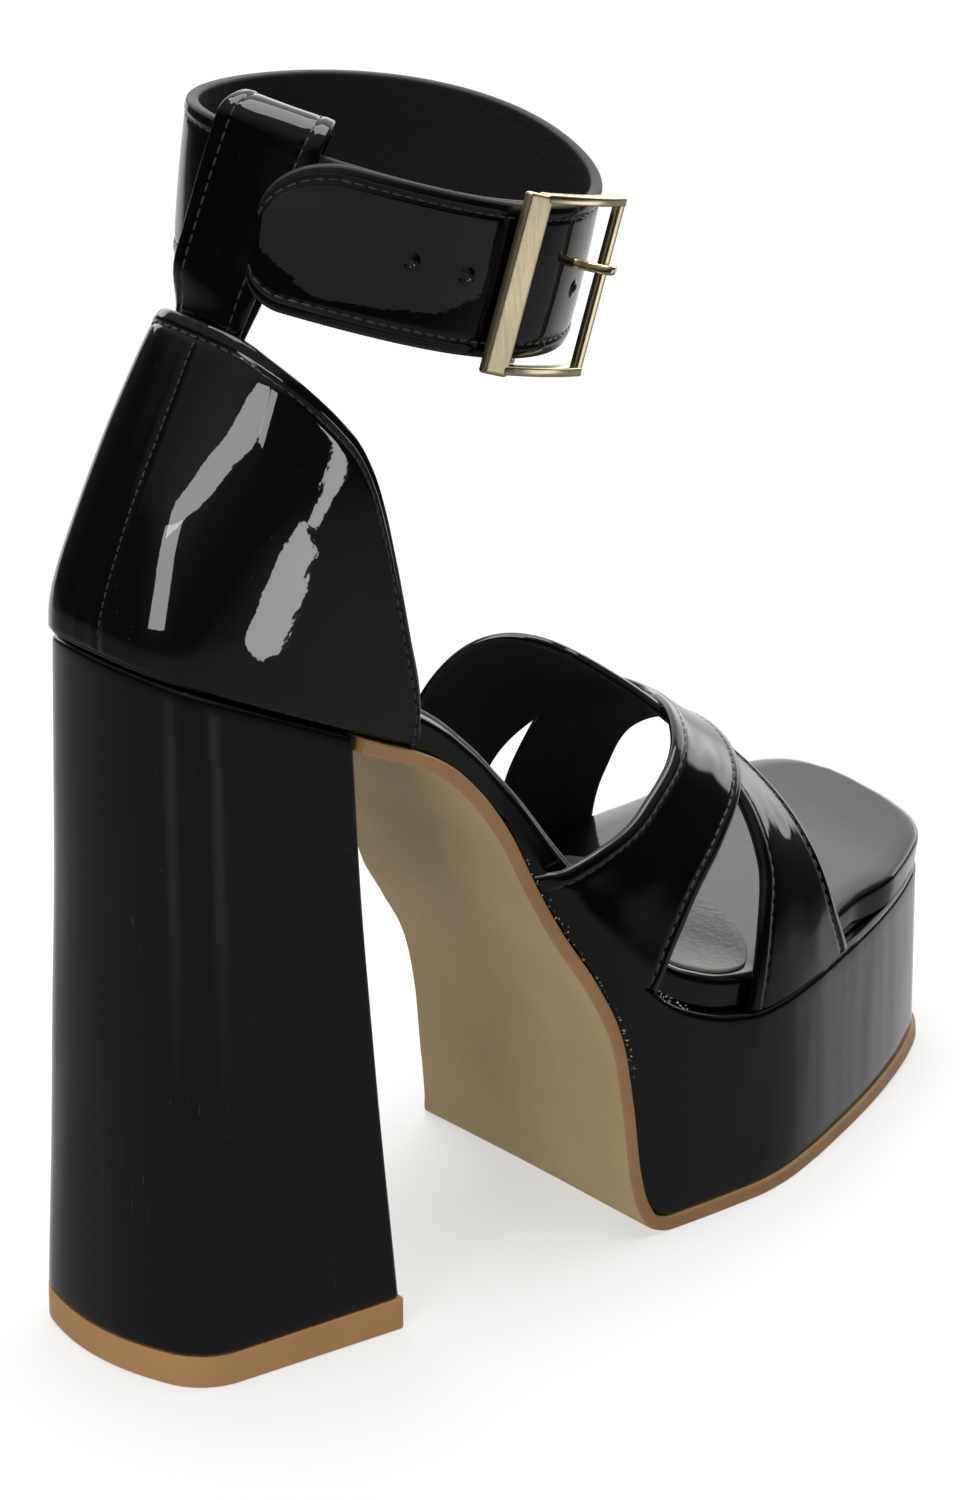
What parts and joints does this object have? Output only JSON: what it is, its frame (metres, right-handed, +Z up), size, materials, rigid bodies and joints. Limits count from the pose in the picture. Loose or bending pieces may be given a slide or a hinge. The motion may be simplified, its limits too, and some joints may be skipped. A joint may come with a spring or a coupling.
{
  "type": "platform sandal",
  "caption": "Platform sandal with a tall block heel, wedge platform, crossed forefoot straps, closed heel counter and a buckled ankle strap.",
  "frame": {"origin": "middle of the heel lift's underside, on the floor", "axes": "+X to the toe, +Y to the medial (inner) side of this right shoe, +Z up"},
  "size_m": [0.2271, 0.0871, 0.2508],
  "materials": {
    "heel_lift_rubber": "satin camel tan",
    "heel_wrap": "black patent, slightly dulled",
    "outsole_sheet": "smooth khaki tan with a camel edge",
    "platform_wrap": "black patent",
    "insole_leather": "black, glossy at the toe, grained on the sock",
    "counter_patent": "black patent, mirror gloss",
    "vamp_patent": "black patent, mirror gloss",
    "loop_patent": "black patent",
    "ankle_strap_patent": "black patent with a matt lining",
    "buckle_gold": "pale gold plate",
    "prong_gold": "pale gold plate"
  },
  "bodies": {
    "root": {"heel_lift": "heel_lift_rubber", "heel": "heel_wrap", "outsole": "outsole_sheet", "platform": "platform_wrap", "insole": "insole_leather", "heel_counter": "counter_patent", "vamp_straps": "vamp_patent", "back_loop": "loop_patent", "ankle_strap": "ankle_strap_patent", "buckle_frame": "buckle_gold", "buckle_prong": "prong_gold"}
  },
  "joints": []
}
